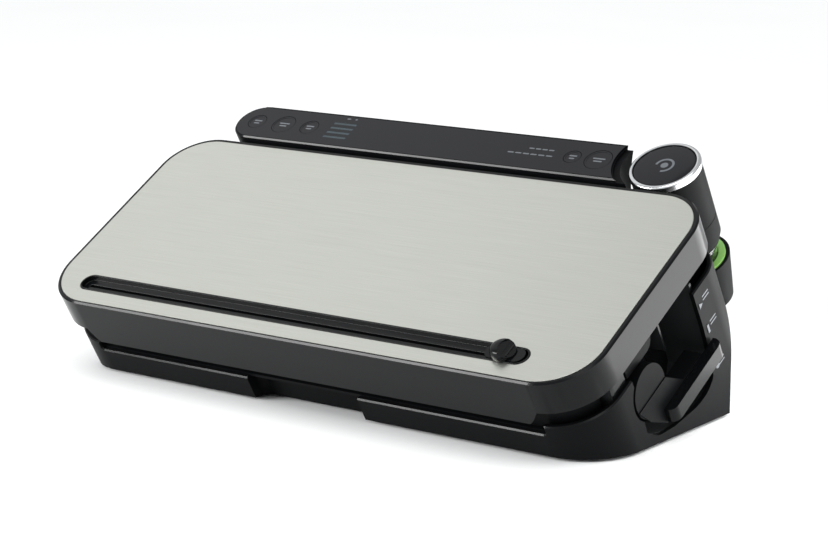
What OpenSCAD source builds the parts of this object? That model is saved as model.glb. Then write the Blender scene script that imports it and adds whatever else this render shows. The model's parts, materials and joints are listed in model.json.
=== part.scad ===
// Countertop vacuum sealer with a tilted lid, a side latch and a docked hand-held sealer.
// Most pieces are laid out in the slope frame: x to the right, v up the slope towards
// the rear, w square to the lid, with w = 0 on the top of the lid.

/* [Lid] */
// Width of the lid
lid_w = 440; // [430:1:460]
// Front edge of the lid, measured up the slope
lid_front = -97; // [-99:0.5:-96]
// Rear edge of the lid, measured up the slope
lid_rear = 86.5; // [86:0.1:86.8]
// Radius of the lid's front corners
lid_r = 38; // [30:1:42]
// Radius of the lid's rear corners
lid_r_rear = 35; // [32:1:40]
// Height of the lid's side walls
lid_side_h = 24; // [20:0.5:26]
// Height of the lid's front skirt
lid_front_h = 34.5; // [30:0.5:36]
// Slope of the lid
tilt = 30; // [28:0.5:32]

/* [Base] */
// Width of the base
base_w = 434; // [430:1:436]
// Front wall of the base, measured up the slope
base_front = -94; // [-95:0.5:-93]
// Wall thickness of the base
wall = 3; // [2.5:0.1:3.2]
// Height of the rim of the base
rim_w = -38.5; // [-40:0.5:-38]
// Height of the lowered front edge of the base
front_rim_w = -45.5; // [-47:0.5:-45]
// Height of the rubber feet
foot_h = 2; // [1.5:0.1:3]

/* [Cutter] */
// Left end of the slot in the lid
slot_left = -193; // [-195:1:-190]
// Right end of the slot in the lid
slot_right = 174; // [170:1:176]
// Centre line of the slot, measured up the slope
slot_v = -76.1; // [-77:0.1:-75]
// Half width of the slot
slot_r = 7.5; // [7:0.1:8]
// Where the cutter knob rests
knob_x = 157; // [155:0.5:158]

/* [Control panel] */
// Front edge of the panel, measured up the slope
panel_front = 88.4; // [88.2:0.1:89]
// Depth of the panel
panel_depth = 35.5; // [34:0.5:36]
// Left end of the panel
panel_left = -184.8; // [-188:0.1:-180]
// Height of the panel's top above the lid
panel_top = 3; // [2.5:0.1:4]

/* [Hand-held sealer] */
// Axis of the hand-held sealer from the middle of the lid
hand_x = 167; // [166:0.5:168]
// Axis of the hand-held sealer, measured up the slope
hand_v = 113; // [112.8:0.1:114]
// Outer radius of the ring on the hand-held sealer
hand_r = 24.1; // [23.5:0.1:24.2]

/* [Latch] */
// Axis of the latch, measured up the slope
hub_v = -31; // [-32:0.5:-30]
// Height of the latch axis
hub_w = -58.5; // [-59:0.5:-58]
// Radius of the latch drum
drum_r = 17.5; // [16:0.5:18]
// How far the handle stands out from the middle of the lid
handle_x = 225.5; // [224:0.5:228]

/* [Hidden] */
$fn = 96;

// Where the slope frame stands in the object's own frame
centre_x = -2.75;
slope_y = -44.5;
slope_z = 104;
// Rear wall of the base
rear_y = slope_y + 103.1;

lid_x = lid_w / 2;
base_x = base_w / 2;
base_r_front = 37;
base_r_rear = 30;
inner_front = base_front + wall;
floor_z = foot_h;
cover_t = 2.5;

// Finger notch in the front wall
notch_left = -53;
notch_right = 38.5;
notch_v = -82;

// Hinge of the lid
hinge_v = 80.5;
hinge_w = -6.8;
hinge_pin_r = 1.5;
hinge_places = [-150, 110];
arm_half = 5;
ear_t = 6.5;
hinge_gap = 0.6;

// Plate, skin and liner of the lid
plate_t = 0.8;
plate_inset = 3.3;
plate_rear_inset = 3.6;
skin_w = -3.2;
liner_top = -20.6;
liner_bottom = -23;

// Deck, channel and roll bay
deck_w = -31;
deck_t = 2.5;
lip_bottom = front_rim_w - 1;
lip_top = front_rim_w + 1.2;
channel_x = 180;
channel_front = -60;
channel_rear = -28;
bay_x = 146;
bay_v = 33;
bay_w = -38;
bay_r = 38;
gasket_gap = 0.4;

// Dock for the hand-held sealer
cup_top = -78;
cup_bottom = -112;

// Control panel
panel_mid = panel_front + panel_depth / 2;
panel_end_r = 29;
overlay_t = 1.2;
button_gap = 0.35;
// Each button: x, radius
buttons = [[-167.5, 7], [-143, 9], [-119.5, 7], [102, 6], [122, 9.5]];
button_v = 106.2;

plastic = "#232526";
dark = "#17191a";
gloss = "#2d2f33";
steel = "#c9cbc8";
metal = "#a8abad";

// ---- Frames and shapes -------------------------------------------------------

module slope() {
    translate([centre_x, slope_y, slope_z]) rotate([tilt, 0, 0]) children();
}

module level() {
    translate([centre_x, 0, 0]) children();
}

module block(x0, x1, v0, v1, w0, w1) {
    translate([x0, v0, w0]) cube([x1 - x0, v1 - v0, w1 - w0]);
}

// Rounded outline with its own radius at the front and the rear corners
module outline(x0, x1, v0, v1, r0, r1) {
    translate([x0 + r0, v0]) square([x1 - x0 - 2 * r0, r0 + 1]);
    translate([x0 + r1, v1 - r1 - 1]) square([x1 - x0 - 2 * r1, r1 + 1]);
    translate([x0, v0 + r0]) square([x1 - x0, v1 - v0 - r0 - r1]);
    for (x = [x0 + r0, x1 - r0]) translate([x, v0 + r0]) circle(r0);
    for (x = [x0 + r1, x1 - r1]) translate([x, v1 - r1]) circle(r1);
}

module slab(x0, x1, v0, v1, r0, r1, w0, w1) {
    translate([0, 0, w0]) linear_extrude(w1 - w0) outline(x0, x1, v0, v1, r0, r1);
}

module stadium(x0, x1, v, r) {
    translate([x0 + r, v - r]) square([x1 - x0 - 2 * r, 2 * r]);
    for (x = [x0 + r, x1 - r]) translate([x, v]) circle(r);
}

module stadium_bar(x0, x1, v, r, w0, w1) {
    translate([0, 0, w0]) linear_extrude(w1 - w0) stadium(x0, x1, v, r);
}

module peg(x, v, w0, w1, r) {
    translate([x, v, w0]) cylinder(h = w1 - w0, r = r);
}

module rod_x(x0, x1, v, w, r) {
    translate([x0, v, w]) rotate([0, 90, 0]) cylinder(h = x1 - x0, r = r);
}

// Side view outline, drawn as (v, w) or (y, z) points, thick along x
module side_plate(points, x0, x1) {
    translate([x0, 0, 0]) rotate([90, 0, 90]) linear_extrude(x1 - x0) polygon(points);
}

function arc(cx, cy, r, a0, a1, n = 24) =
    [for (i = [0:n]) let (a = a0 + (a1 - a0) * i / n) [cx + r * cos(a), cy + r * sin(a)]];

// ---- Base --------------------------------------------------------------------

module base_body(inset, top) {
    intersection() {
        slope() slab(-base_x + inset, base_x - inset, base_front + inset, lid_rear - inset,
            base_r_front - inset, base_r_rear - inset, -210, top);
        level() block(-250, 250, -150, rear_y - inset, floor_z, 200);
    }
}

module notch(inset, top) {
    slope() slab(notch_left - inset, notch_right + inset, base_front - 20, notch_v + inset,
        6, 6 + inset, -120, top);
}

// Opening in the right wall for the latch
latch_opening = [[-44, -20], [-44, -64], [-45.5, -80], [-37, -91], [-18, -99.5], [11, -108],
    [24, -108], [33.5, -104], [36.5, -88], [38, -66], [37.5, -20]];
well_inner = [[-60, -33.6], [-60, -70], [-48.6, -81.6], [-20, -100.3], [12, -110], [28, -110],
    [37, -100], [40, -66], [40, -33.6]];
well_outer = [[-62, -33.6], [-62, -70.5], [-50, -83.8], [-21, -102.3], [11.6, -112.2],
    [29, -112.2], [39, -100.8], [42.2, -66], [42.2, -33.6]];
well_floor_x = 192;
well_deep_x = 180;
well_step_v = 1;

inlet_x = -120;
inlet_z = 34;
boss_places = [[-150, -83], [150, -83], [-200, rear_y - 6.6], [200, rear_y - 6.6],
    [0, rear_y - 6.6]];
boss_top = 16;
boss_web_t = 1.6;

module base_shell() color(plastic) difference() {
    union() {
        difference() {
            base_body(0, rim_w);
            base_walls_inside();
            notch(0, 0);
            slope() block(-183, 182, base_front - 5, inner_front + 0.5, front_rim_w, 0);
            slope() block(-60, 46, inner_front, -75, lip_bottom - 0.2, 0);
        }
        intersection() {
            base_body(1, rim_w - 12);
            level() for (p = boss_places) {
                peg(p.x, p.y, floor_z + cover_t, boss_top, 5);
                block(p.x - boss_web_t / 2, p.x + boss_web_t / 2,
                    p.y < 0 ? p.y - 20 : p.y, p.y < 0 ? p.y : p.y + 20, floor_z + cover_t,
                    boss_top);
            }
        }
    }
    slope() side_plate(latch_opening, base_x - wall - 1, base_x + 5);
    slope() rod_x(base_x - wall - 1, base_x + 5, hub_v, hub_w, drum_r + 1.7);
    level() for (p = boss_places) peg(p.x, p.y, 0, boss_top - 2, 1.25);
    level() block(inlet_x - 11, inlet_x + 11, rear_y - 9, rear_y + 5, inlet_z - 6, inlet_z + 6);
    level() for (i = [0:9]) block(30 + 9 * i, 33.5 + 9 * i, rear_y - 9, rear_y + 5, 22, 50);
}

module base_walls_inside() difference() {
    base_body(wall, 0);
    notch(wall, 10);
}

module bottom_cover() color(dark) difference() {
    intersection() {
        base_body(wall + 0.2, 0);
        level() block(-250, 250, -150, 150, floor_z, floor_z + cover_t);
    }
    notch(wall + 0.2, 10);
    level() for (p = boss_places) peg(p.x, p.y, -1, 10, 1.6);
    level() for (p = boss_places) peg(p.x, p.y, -1, floor_z + 1.2, 3.2);
    level() for (x = [-120:15:-60]) block(x, x + 6, -20, 20, 0, 10);
}

foot_places = [[-185, -66], [185, -66], [-185, 48], [185, 48]];

module feet() color("#101112")
    level() for (p = foot_places) {
        peg(p.x, p.y, 0, floor_z, 9);
        peg(p.x, p.y, 0, 0.6, 10);
    }

module cover_screws() color(metal)
    level() for (p = boss_places) difference() {
        union() {
            peg(p.x, p.y, floor_z + 0.1, floor_z + 1.2, 2.9);
            peg(p.x, p.y, floor_z + 1.1, boss_top - 3, 1.25);
        }
        block(p.x - 2, p.x + 2, p.y - 0.4, p.y + 0.4, 0, floor_z + 0.7);
    }

// Deck under the lid: front lip, seal bench, vacuum channel, cutter groove and roll bay
module deck_outline(inset) {
    difference() {
        outline(-base_x + 9 + inset, base_x - 9 - inset, base_front + 5.5 + inset,
            lid_rear - 8 - inset, base_r_front - 9 - inset, base_r_rear - 9 - inset);
        translate([189 - inset, -66 - inset]) square([60, 67 + 2 * inset]);
        translate([177.5 - inset, -2 - inset]) square([60, 46 + 2 * inset]);
    }
}

module sealing_deck() color(plastic) slope() difference() {
    union() {
        translate([0, 0, deck_w - deck_t]) linear_extrude(deck_t) deck_outline(0);
        translate([0, 0, rim_w - 6]) linear_extrude(deck_w - rim_w + 5) difference() {
            deck_outline(0);
            deck_outline(2);
        }
        intersection() {
            slab(-base_x + wall + 0.2, base_x - wall - 0.2, inner_front + 0.2, 60,
                base_r_front - wall - 0.2, 10, lip_bottom, lip_top);
            block(-206, 206, base_front, base_front + 16, lip_bottom - 1, lip_top + 1);
        }
        slab(-channel_x - 2.5, channel_x + 2.5, channel_front - 2.5, channel_rear + 2.5, 6, 6,
            deck_w - 17, deck_w - 1);
        intersection() {
            rod_x(-bay_x - 2.5, bay_x + 2.5, bay_v, bay_w, bay_r + 2.5);
            block(-200, 200, -20, 90, -90, deck_w - 0.5);
        }
        block(-194, 175, slot_v - 4, slot_v + 4, deck_w - 9, deck_w - 1);
    }
    slab(-channel_x, channel_x, channel_front, channel_rear, 4, 4, deck_w - 14.5, 1);
    peg(-165, (channel_front + channel_rear) / 2, deck_w - 30, 1, 3);
    rod_x(-bay_x, bay_x, bay_v, bay_w, bay_r);
    block(-bay_x, bay_x, bay_v - bay_r, bay_v + bay_r, bay_w, 5);
    block(-192, 173, slot_v - 2, slot_v + 2, deck_w - 7, 5);
}

module heater_bar() color("#3b3a36") slope() block(-156, 156, -87.3, -81.4, deck_w, -28.9);

module heating_strip() color(metal) slope() block(-160, 160, -86.4, -82.4, -28.9, -28.6);

module seal_tape() color("#8b6a47") slope() difference() {
    block(-162, 162, -87.8, -80.9, -30.2, -28.25);
    block(-170, 170, -87.3, -81.4, -40, -28.9);
    block(-160, 160, -86.4, -82.4, -28.95, -28.6);
}

module gasket_ring(x, v0, v1, t, w0, w1) {
    difference() {
        slab(-x, x, v0, v1, 11, 11, w0, w1);
        slab(-x + t, x - t, v0 + t, v1 - t, 11 - t, 11 - t, w0 - 1, w1 + 1);
    }
}

module lower_gasket() color("#3a3c3d") slope()
    gasket_ring(187, channel_front - 6.4, channel_rear + 6.4, 6, deck_w, -27.2);

module hinge_brackets() color(dark) slope() for (x = hinge_places) difference() {
    union() {
        rod_x(x - arm_half, x + arm_half, hinge_v, hinge_w, 3.2);
        block(x - arm_half, x + arm_half, hinge_v - 1.9, hinge_v + 2.5, -44, hinge_w);
        block(x - 9, x + 9, hinge_v - 1.9, hinge_v + 3, -44, deck_w - deck_t - 1);
    }
    rod_x(x - 20, x + 20, hinge_v, hinge_w, hinge_pin_r);
}

module hinge_pins() color(metal) slope() for (x = hinge_places)
    rod_x(x - arm_half - ear_t, x + arm_half + ear_t, hinge_v, hinge_w, hinge_pin_r);

// ---- Control panel -----------------------------------------------------------

module panel_outline(inset) {
    r = panel_depth / 2 - inset;
    difference() {
        union() {
            translate([panel_left + inset + r, panel_mid]) circle(r);
            translate([panel_left + inset + r, panel_mid - r]) square([345, 2 * r]);
        }
        translate([hand_x, hand_v]) circle(panel_end_r + inset);
        translate([hand_x - 12, panel_front - 10]) square([40, 60]);
    }
}

module rear_housing() color(plastic) difference() {
    intersection() {
        slope() union() {
            translate([0, 0, -58]) linear_extrude(58 + panel_top) panel_outline(0);
            block(-160, 130, lid_rear + 0.05, panel_front + 1, -57, -40);
        }
        level() block(-250, 250, -150, rear_y + 2.4, 0, 250);
    }
    intersection() {
        slope() translate([0, 0, -52]) linear_extrude(50) panel_outline(2.4);
        level() block(-250, 250, -150, rear_y, 0, 250);
    }
    slope() translate([0, 0, panel_top - overlay_t]) linear_extrude(5) panel_outline(1);
    slope() for (b = buttons) peg(b[0], button_v, -10, 10, b[1] + button_gap);
    slope() block(-104, -80, 95, 117, -10, 10);
}

module panel_overlay() color(gloss) slope() difference() {
    translate([0, 0, panel_top - overlay_t]) linear_extrude(overlay_t) panel_outline(1.1);
    for (b = buttons) peg(b[0], button_v, -10, 10, b[1] + button_gap);
    for (i = [0:3]) block(-102, -82, 97.5 + 5 * i, 99.5 + 5 * i, 0, 10);
}

module indicator_lenses() color("#5f8f9a") slope() for (i = [0:3])
    block(-102, -82, 97.5 + 5 * i, 99.5 + 5 * i, -3, panel_top - 0.1);

module button(i) color(gloss) slope() {
    peg(buttons[i][0], button_v, -1.9, panel_top - 0.1, buttons[i][1]);
    peg(buttons[i][0], button_v, -2.5, -1.8, 2);
}

module button_power() button(0);
module button_mode() button(1);
module button_food() button(2);
module button_hold() button(3);
module button_seal() button(4);

module control_board() color("#2f5d3a") slope() block(-176, 132, 96, 114.5, -6.4, -4.8);

module tact_switches() color(dark) slope() for (b = buttons)
    block(b[0] - 3, b[0] + 3, button_v - 3, button_v + 3, -4.8, -3.5);

// ---- Inside the base ---------------------------------------------------------

module power_board() color("#2f5d3a") level() block(-80, 70, -8, 44, 7, 8.6);

module transformer() color("#8d7a3c") level() {
    block(-40, 5, 2, 36, 8.6, 36);
    block(-34, -1, -3, 41, 12, 32);
}

module vacuum_pump() color("#4a4d50") slope() {
    block(-206, -184, 2, 38, -86, -50);
    rod_x(-184, -180, 20, -68, 15);
    translate([-195, 4, -58]) rotate([90, 0, 0]) cylinder(h = 9, r = 3);
}

module pump_motor() color(metal) slope() {
    rod_x(-180, -152, 20, -68, 13.5);
    rod_x(-152, -150, 20, -68, 5);
}

module pump_hose() color("#b9bcb6") slope() {
    channel_v = (channel_front + channel_rear) / 2;
    difference() {
        union() {
            peg(-165, channel_v, -58, deck_w - 17, 5);
            translate([-165, channel_v, -58]) sphere(5);
            rod_x(-195, -165, channel_v, -58, 5);
            translate([-195, channel_v, -58]) sphere(5);
            translate([-195, -5, -58]) rotate([90, 0, 0]) cylinder(h = -5 - channel_v, r = 5);
        }
        peg(-165, channel_v, -58, deck_w - 10, 3);
        translate([-195, -1, -58]) rotate([90, 0, 0]) cylinder(h = 20, r = 3);
    }
}

module lid_switch() color(dark) slope() {
    block(-206, -199.5, -20, -4, -46, deck_w - deck_t);
    for (v = [-17:5:-7]) block(-203.4, -202.4, v - 1.5, v + 1.5, -50, -45.9);
}

module mains_inlet() color(dark) level() difference() {
    union() {
        block(inlet_x - 11, inlet_x + 11, rear_y - 16, rear_y + 1, inlet_z - 6, inlet_z + 6);
        block(inlet_x - 13, inlet_x + 13, rear_y, rear_y + 1.5, inlet_z - 8, inlet_z + 8);
    }
    for (x = [-4.3, 4.3]) translate([inlet_x + x, rear_y - 12, inlet_z]) rotate([-90, 0, 0])
        cylinder(h = 30, r = 4);
    block(inlet_x - 4.3, inlet_x + 4.3, rear_y - 12, rear_y + 9, inlet_z - 3, inlet_z + 3);
}

module inlet_pins() color(metal) level() for (x = [-4.3, 4.3])
    translate([inlet_x + x, rear_y - 12, inlet_z]) rotate([-90, 0, 0]) cylinder(h = 9, r = 1.1);

// ---- Latch -------------------------------------------------------------------

module latch_well() color(plastic) intersection() {
    base_body(wall + 0.1, 0);
    slope() well_tub();
}

module well_tub() difference() {
    union() {
        difference() {
            side_plate(well_outer, well_floor_x, base_x);
            side_plate(well_inner, well_floor_x + 2.5, base_x + 1);
        }
        intersection() {
            side_plate(well_outer, well_deep_x, well_floor_x + 1);
            block(0, 250, well_step_v - 2.2, 60, -130, 0);
        }
        block(well_deep_x + 1, 203, 12, 13.6, -66, -30);
    }
    difference() {
        intersection() {
            side_plate(well_inner, well_deep_x + 2.5, well_floor_x + 3);
            block(0, 250, well_step_v, 60, -130, 10);
        }
        block(well_deep_x, 203, 12, 13.6, -66, -30);
    }
    rod_x(well_floor_x - 5, well_floor_x + 10, hub_v, hub_w, 3);
}

module latch_spindle() color(metal) slope() {
    rod_x(well_floor_x - 3, base_x - 1, hub_v, hub_w, 3);
    rod_x(well_floor_x - 4, well_floor_x, hub_v, hub_w, 5);
}

// Raised marks beside the three rest angles of the handle: ring, triangle and bar
module position_marks() color("#8f9496") slope() {
    side_plate([[40, -49], [40, -53], [44, -51]], base_x, base_x + 0.4);
    side_plate([[41.5, -68], [41.5, -74], [43.5, -74], [43.5, -68]], base_x, base_x + 0.4);
    rod_x(base_x, base_x + 0.4, 40.5, -100, 2.2);
}

handle_top = -78;
handle_bottom = -90;

module latch_lever() color(plastic) slope() difference() {
    union() {
        rod_x(205.2, base_x + 0.4, hub_v, hub_w, drum_r);
        side_plate([[-48, -62], [-14, -62], [2, handle_top], [27, handle_top],
            [27, handle_bottom], [-25, handle_bottom], [-40, -76]], 205.2, base_x + 1.1);
        translate([0, 0, handle_bottom]) linear_extrude(handle_top - handle_bottom)
            handle_outline();
    }
    rod_x(200, 216.2, hub_v, hub_w, 3.05);
}

module handle_outline() {
    x0 = base_x + 1;
    r = handle_x - x0 - 0.01;
    translate([x0, -25 + 6]) square([handle_x - x0, 68 - 6 - r]);
    translate([x0, -25]) square([handle_x - x0 - 6, 7]);
    translate([handle_x - 6, -25 + 6]) circle(6);
    intersection() {
        translate([x0, 43 - r]) circle(r);
        translate([x0, 0]) square([50, 60]);
    }
}

module latch_hook() color(metal) slope() difference() {
    side_plate(concat(arc(hub_v, hub_w, 28, 104, 172), arc(hub_v, hub_w, 14, 180, 360),
        arc(hub_v, hub_w, 14, 0, 128), arc(hub_v, hub_w, 24.1, 150, 104)), 198.5, 205);
    rod_x(190, 210, hub_v, hub_w, 3.05);
}

// ---- Dock and hand-held sealer ----------------------------------------------

// Turned piece on the hand-held sealer's axis, drawn as (radius, height) points
module turned(points) {
    translate([hand_x, hand_v, 0]) rotate_extrude() polygon(points);
}

module dock_cup() color(plastic) difference() {
    union() {
        slope() turned([[0, cup_bottom], [20.1, cup_bottom], [25.4, cup_top], [0, cup_top]]);
        level() side_plate([[rear_y, 44], [rear_y, 82], [rear_y + 15, 82], [rear_y + 40, 60],
            [rear_y + 30, 44]], hand_x - 15, hand_x + 15);
    }
    slope() turned([[0, cup_bottom + 2.5], [18.2, cup_bottom + 2.5], [23.4, cup_top + 1],
        [0, cup_top + 1]]);
    slope() turned([[0, cup_top], [40, cup_top], [40, 0], [0, 0]]);
}

module charge_contacts() color("#b89a55") slope() for (x = [-5, 5])
    peg(hand_x + x, hand_v, cup_bottom + 2.5, cup_bottom + 3, 1.5);

module handheld_body() color(plastic) slope() turned([[23.6, -6.2], [23.4, -60], [21, -66],
    [18.2, -66], [21.1, -58], [21.4, -12], [21.4, -6.2]]);

module handheld_ring() color("#c4c6c8") slope() turned([[21.4, -6.2], [hand_r - 0.5, -6.2],
    [hand_r, -5], [hand_r, -2.2], [hand_r - 1, -1.2], [21.4, -1.2]]);

module handheld_button() color(gloss) slope() turned([[0, -4.6], [21, -4.6], [21, -2.4],
    [20.2, -1.7], [0, -1.4]]);

module handheld_base() color(dark) slope() difference() {
    turned([[0, -66.05], [18.2, -66.05], [19.2, -63], [0, -63]]);
    peg(hand_x, hand_v, -80, -50, 3);
}

module handheld_battery() color("#4b6b86") slope() peg(hand_x - 10, hand_v, -56, -12, 9.1);

module handheld_motor() color(metal) slope() peg(hand_x + 10, hand_v, -38, -12, 9);

module handheld_pump() color("#4a4d50") slope() difference() {
    union() {
        peg(hand_x + 10, hand_v, -54, -38, 9);
        peg(hand_x, hand_v, -63, -56.2, 5);
        block(hand_x, hand_x + 10, hand_v - 4, hand_v + 4, -60, -56.2);
        peg(hand_x + 10, hand_v, -60, -53, 4);
    }
    peg(hand_x, hand_v, -70, -58, 3);
}

module suction_tube() color("#c9ccc8") slope() difference() {
    peg(hand_x, hand_v, -88, -58.5, 3);
    peg(hand_x, hand_v, -100, -50, 2);
}

module reservoir() color([0.85, 0.88, 0.9, 0.4]) slope() difference() {
    turned([[0, -101], [15.6, -101], [18, -72], [18, -66.05], [0, -66.05]]);
    turned([[0, -99.4], [14.2, -99.4], [16.4, -72], [16.4, -60], [0, -60]]);
    peg(hand_x, hand_v, -120, -90, 4);
}

module reservoir_seal() color("#7fc05e") slope() turned([[17.8, -82], [20.6, -82],
    [22.6, -78.5], [22.6, -77], [18, -77]]);

module suction_tip() color("#2b2d2e") slope() difference() {
    turned([[0, -107.5], [9, -107.5], [11, -101], [0, -101]]);
    turned([[0, -109], [6.5, -109], [4, -100], [0, -100]]);
}

// ---- Lid ---------------------------------------------------------------------

// One layer of the lid, drawn in from its outer edge
module lid_layer(inset, w0, w1, rear_inset = -1) {
    slab(-lid_x + inset, lid_x - inset, lid_front + inset,
        lid_rear - (rear_inset < 0 ? inset : rear_inset), lid_r - inset, lid_r_rear - inset, w0, w1);
}

module lid_shell() color(plastic) slope() difference() {
    union() {
        difference() {
            union() {
                lid_layer(0, -lid_side_h, -3.2);
                lid_layer(0.35, -3.3, -2, 0.9);
                lid_layer(0.9, -2.1, -1.2, 1.6);
                lid_layer(1.6, -1.3, -0.6, 2.6);
                lid_layer(2.4, -0.7, -0.2, 4);
                block(-184, 184, lid_front, lid_front + 2.6, -lid_front_h, -lid_side_h + 1);
            }
            lid_layer(2.6, -lid_front_h - 1, skin_w);
            lid_layer(plate_inset, -plate_t, 1, plate_rear_inset);
            for (x = hinge_places) block(x - arm_half - hinge_gap, x + arm_half + hinge_gap,
                lid_rear - 6, lid_rear + 1, -30, skin_w);
        }
        for (x = hinge_places, s = [-1, 1]) hinge_ear(x, s);
        stadium_bar(slot_left - 2, slot_right + 2, slot_v, slot_r + 2, skin_w - 5, skin_w + 0.5);
    }
    stadium_bar(slot_left, slot_right, slot_v, slot_r + 0.05, -20, 5);
    for (x = hinge_places) rod_x(x - 20, x + 20, hinge_v, hinge_w, hinge_pin_r + 0.05);
}

module hinge_ear(x, s) {
    x0 = s > 0 ? x + arm_half + hinge_gap : x - arm_half - ear_t - 1;
    x1 = s > 0 ? x + arm_half + ear_t + 1 : x - arm_half - hinge_gap;
    rod_x(x0, x1, hinge_v, hinge_w, 3.4);
    block(x0, x1, hinge_v - 3.4, lid_rear - 2, hinge_w, skin_w + 0.2);
    block(x0, x1, hinge_v, lid_rear - 2, hinge_w - 3, hinge_w);
}

module steel_plate() color(steel) slope() difference() {
    lid_layer(plate_inset + 0.05, -plate_t, 0, plate_rear_inset + 0.05);
    stadium_bar(slot_left, slot_right, slot_v, slot_r + 0.05, -5, 5);
}

module lid_liner() color(dark) slope() difference() {
    union() {
        intersection() {
            lid_layer(2.7, liner_bottom, liner_top);
            block(-lid_x, lid_x, lid_front, 76, liner_bottom - 1, liner_top + 1);
        }
        for (p = liner_screw_places) peg(p.x, p.y, liner_top - 1, -16, 4);
    }
    block(slot_left + 4, slot_right - 4, slot_v - 1.3, slot_v + 1.3, -30, 0);
    for (p = liner_screw_places) peg(p.x, p.y, -30, -10, 1.6);
    for (p = liner_screw_places) peg(p.x, p.y, -30, liner_bottom + 1.2, 3.2);
}

liner_screw_places = [for (x = [-200, -100, 0, 100, 200], v = [-10, 66]) [x, v]];

module liner_screws() color(metal) slope() for (p = liner_screw_places) difference() {
    union() {
        peg(p.x, p.y, liner_bottom + 0.1, liner_bottom + 1.2, 2.9);
        peg(p.x, p.y, liner_bottom + 1.1, -14, 1.55);
    }
    block(p.x - 2, p.x + 2, p.y - 0.4, p.y + 0.4, -30, liner_bottom + 0.7);
}

module upper_gasket() color("#3a3c3d") slope()
    gasket_ring(187, channel_front - 6.4, channel_rear + 6.4, 6, -27.2 + gasket_gap,
        liner_bottom);

module pressure_strip() color("#7d3b33") slope()
    block(-160, 160, -88, -80.8, -28.25 + gasket_gap, liner_bottom);

module cutter_rail() color(dark) slope() difference() {
    stadium_bar(slot_left + 0.05, slot_right - 0.05, slot_v, slot_r, -10, -0.3);
    stadium_bar(slot_left + 1.3, slot_right - 1.3, slot_v, slot_r - 1.3, -8, 5);
    block(slot_left + 6, slot_right - 6, slot_v - 1.1, slot_v + 1.1, -20, 0);
}

module lid_keeper() color(plastic) slope() side_plate(concat([[-42, liner_bottom],
    [-42, -41]], arc(-16, -33, 8, 270, 360, 8), [[-8, liner_bottom]]), 206, 212);

module keeper_pin() color(metal) slope() rod_x(198, 206, hub_v, hub_w + 21.5, 2.2);

module cutter_knob() color(plastic) slope() {
    stadium_bar(knob_x - 14, knob_x + 14, slot_v, 5.9, -7.8, 0.6);
    slab(knob_x - 9, knob_x + 9, slot_v - 8, slot_v + 8, 4, 4, 0.6, 3.4);
    for (i = [-2:2]) block(knob_x + i * 3.2 - 0.8, knob_x + i * 3.2 + 0.8, slot_v - 7,
        slot_v + 7, 3, 7 - abs(i) * 0.6);
    block(knob_x - 5, knob_x + 5, slot_v - 0.8, slot_v + 0.8, -16, -7.5);
}

module cutter_blade() color(metal) slope() translate([0, slot_v + 0.25, 0]) rotate([90, 0, 0])
    linear_extrude(0.5) polygon([[knob_x - 5, -16], [knob_x + 5, -16], [knob_x + 5, -28],
        [knob_x, -34], [knob_x - 5, -28]]);

module drip_tray() color("#6d7376") slope() difference() {
    slab(-channel_x + 1, channel_x - 1, channel_front + 1, channel_rear - 1, 3.5, 3.5,
        deck_w - 14.4, deck_w - 1.5);
    slab(-channel_x + 2.8, channel_x - 2.8, channel_front + 2.8, channel_rear - 2.8, 2, 2,
        deck_w - 12.6, 0);
    peg(-165, (channel_front + channel_rear) / 2, -60, 0, 5);
}

// ---- Assembly ----------------------------------------------------------------

base_shell();
bottom_cover();
feet();
cover_screws();
sealing_deck();
heater_bar();
heating_strip();
seal_tape();
lower_gasket();
hinge_brackets();
hinge_pins();
rear_housing();
panel_overlay();
indicator_lenses();
control_board();
tact_switches();
power_board();
transformer();
vacuum_pump();
pump_motor();
pump_hose();
lid_switch();
mains_inlet();
inlet_pins();
latch_well();
latch_spindle();
position_marks();
dock_cup();
charge_contacts();
lid_shell();
steel_plate();
lid_liner();
upper_gasket();
pressure_strip();
cutter_rail();
lid_keeper();
keeper_pin();
liner_screws();
cutter_knob();
cutter_blade();
latch_lever();
latch_hook();
drip_tray();
button_power();
button_mode();
button_food();
button_hold();
button_seal();
handheld_body();
handheld_ring();
handheld_base();
handheld_motor();
handheld_pump();
handheld_battery();
suction_tube();
reservoir();
reservoir_seal();
suction_tip();
handheld_button();
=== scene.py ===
import json
import math

import bmesh
import bpy
from mathutils import Matrix, Vector


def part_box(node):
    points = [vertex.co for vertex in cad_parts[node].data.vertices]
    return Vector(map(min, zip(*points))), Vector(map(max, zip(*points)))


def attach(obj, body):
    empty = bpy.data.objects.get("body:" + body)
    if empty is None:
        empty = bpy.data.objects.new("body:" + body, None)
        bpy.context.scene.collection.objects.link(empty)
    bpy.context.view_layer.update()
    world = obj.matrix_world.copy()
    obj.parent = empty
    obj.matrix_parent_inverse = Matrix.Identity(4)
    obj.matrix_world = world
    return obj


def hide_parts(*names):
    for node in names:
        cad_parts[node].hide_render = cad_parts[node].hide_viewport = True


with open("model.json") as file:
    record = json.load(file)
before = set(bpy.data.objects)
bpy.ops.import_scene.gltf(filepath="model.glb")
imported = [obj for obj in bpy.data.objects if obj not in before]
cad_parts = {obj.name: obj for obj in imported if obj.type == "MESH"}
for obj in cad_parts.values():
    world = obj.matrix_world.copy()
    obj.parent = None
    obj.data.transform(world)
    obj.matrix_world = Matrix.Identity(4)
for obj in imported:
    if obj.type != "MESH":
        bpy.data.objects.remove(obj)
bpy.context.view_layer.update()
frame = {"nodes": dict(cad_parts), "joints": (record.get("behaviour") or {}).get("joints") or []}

# ---- Where things stand ----------------------------------------------------------
# The lid slopes, so the pieces are made lying flat on a bench, in millimetres: x across,
# v up the slope towards the rear, w above the top of the lid. Each is then tilted into place.

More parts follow.
